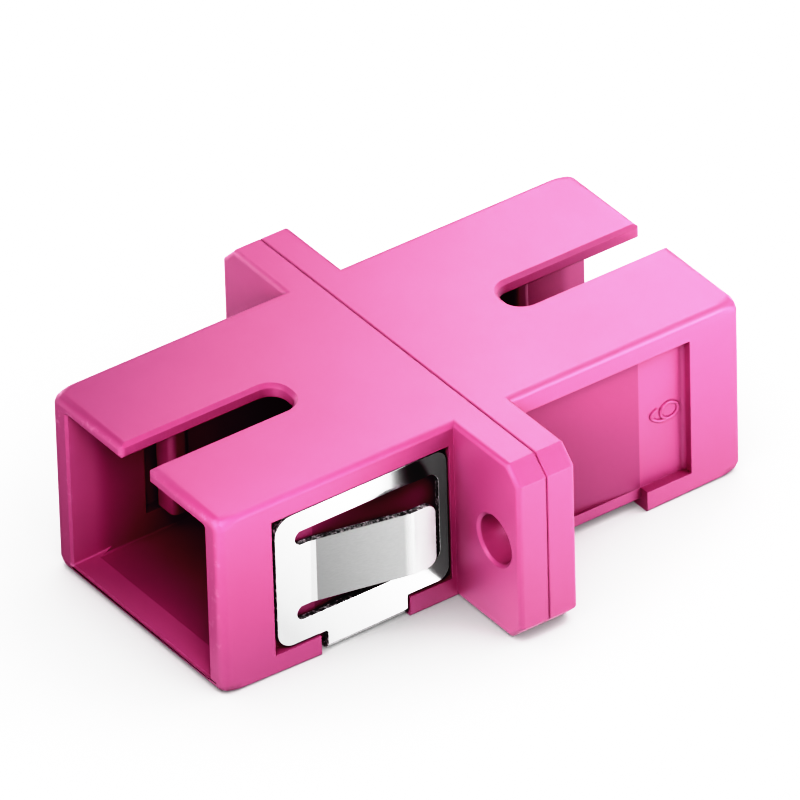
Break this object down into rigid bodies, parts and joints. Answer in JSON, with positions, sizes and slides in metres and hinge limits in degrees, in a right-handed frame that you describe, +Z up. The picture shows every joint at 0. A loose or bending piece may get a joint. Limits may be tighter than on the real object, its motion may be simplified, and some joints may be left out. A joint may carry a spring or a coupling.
{
  "type": "simplex fibre optic adapter",
  "caption": "Panel-mount coupler that joins two fibre optic plugs end to end, with a screw flange, key slots and a sprung steel mounting clip.",
  "frame": {"origin": "on the optical axis, in the plane where the two housing halves meet, which is also the centre of the bounding box", "axes": "+Y along the optical axis from the clip half to the plain half, +X across the flange, +Z up towards the key slots"},
  "size_m": [0.0224, 0.0282, 0.0094],
  "materials": {
    "housing_plastic": "satin moulded",
    "insert_plastic": "satin moulded",
    "sleeve_ceramic": "ground and polished",
    "clip_steel": "bright rolled"
  },
  "bodies": {
    "root": {"front_housing": "housing_plastic", "rear_housing": "housing_plastic", "front_latch_insert": "insert_plastic", "rear_latch_insert": "insert_plastic", "alignment_sleeve": "sleeve_ceramic", "mounting_clip": "clip_steel"}
  },
  "joints": []
}
